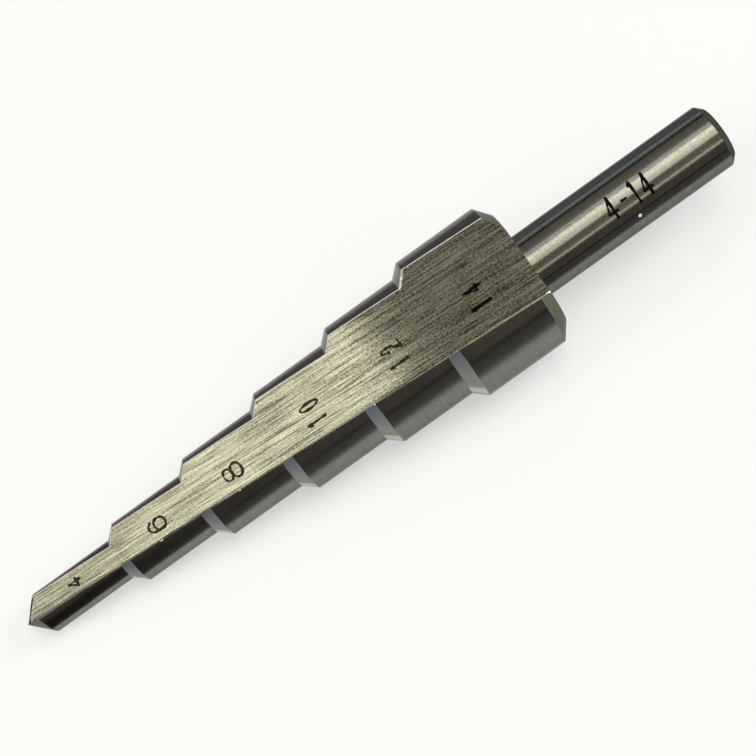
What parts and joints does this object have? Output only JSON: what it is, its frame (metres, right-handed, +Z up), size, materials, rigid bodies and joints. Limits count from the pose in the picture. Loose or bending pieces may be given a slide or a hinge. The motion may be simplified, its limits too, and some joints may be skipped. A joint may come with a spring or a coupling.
{
  "type": "step drill",
  "caption": "Straight-fluted stepped drill on a plain round shank, lying on its side, for opening sheet metal to stated diameters.",
  "frame": {"origin": "middle of the drill's outline on the bench it lies on", "axes": "+X along the drill from the point to the shank, +Z up from the bench"},
  "size_m": [0.0726, 0.014, 0.0117],
  "materials": {
    "ground_steel": "bright ground high speed steel"
  },
  "bodies": {
    "root": {"step_drill": "ground_steel"}
  },
  "joints": []
}
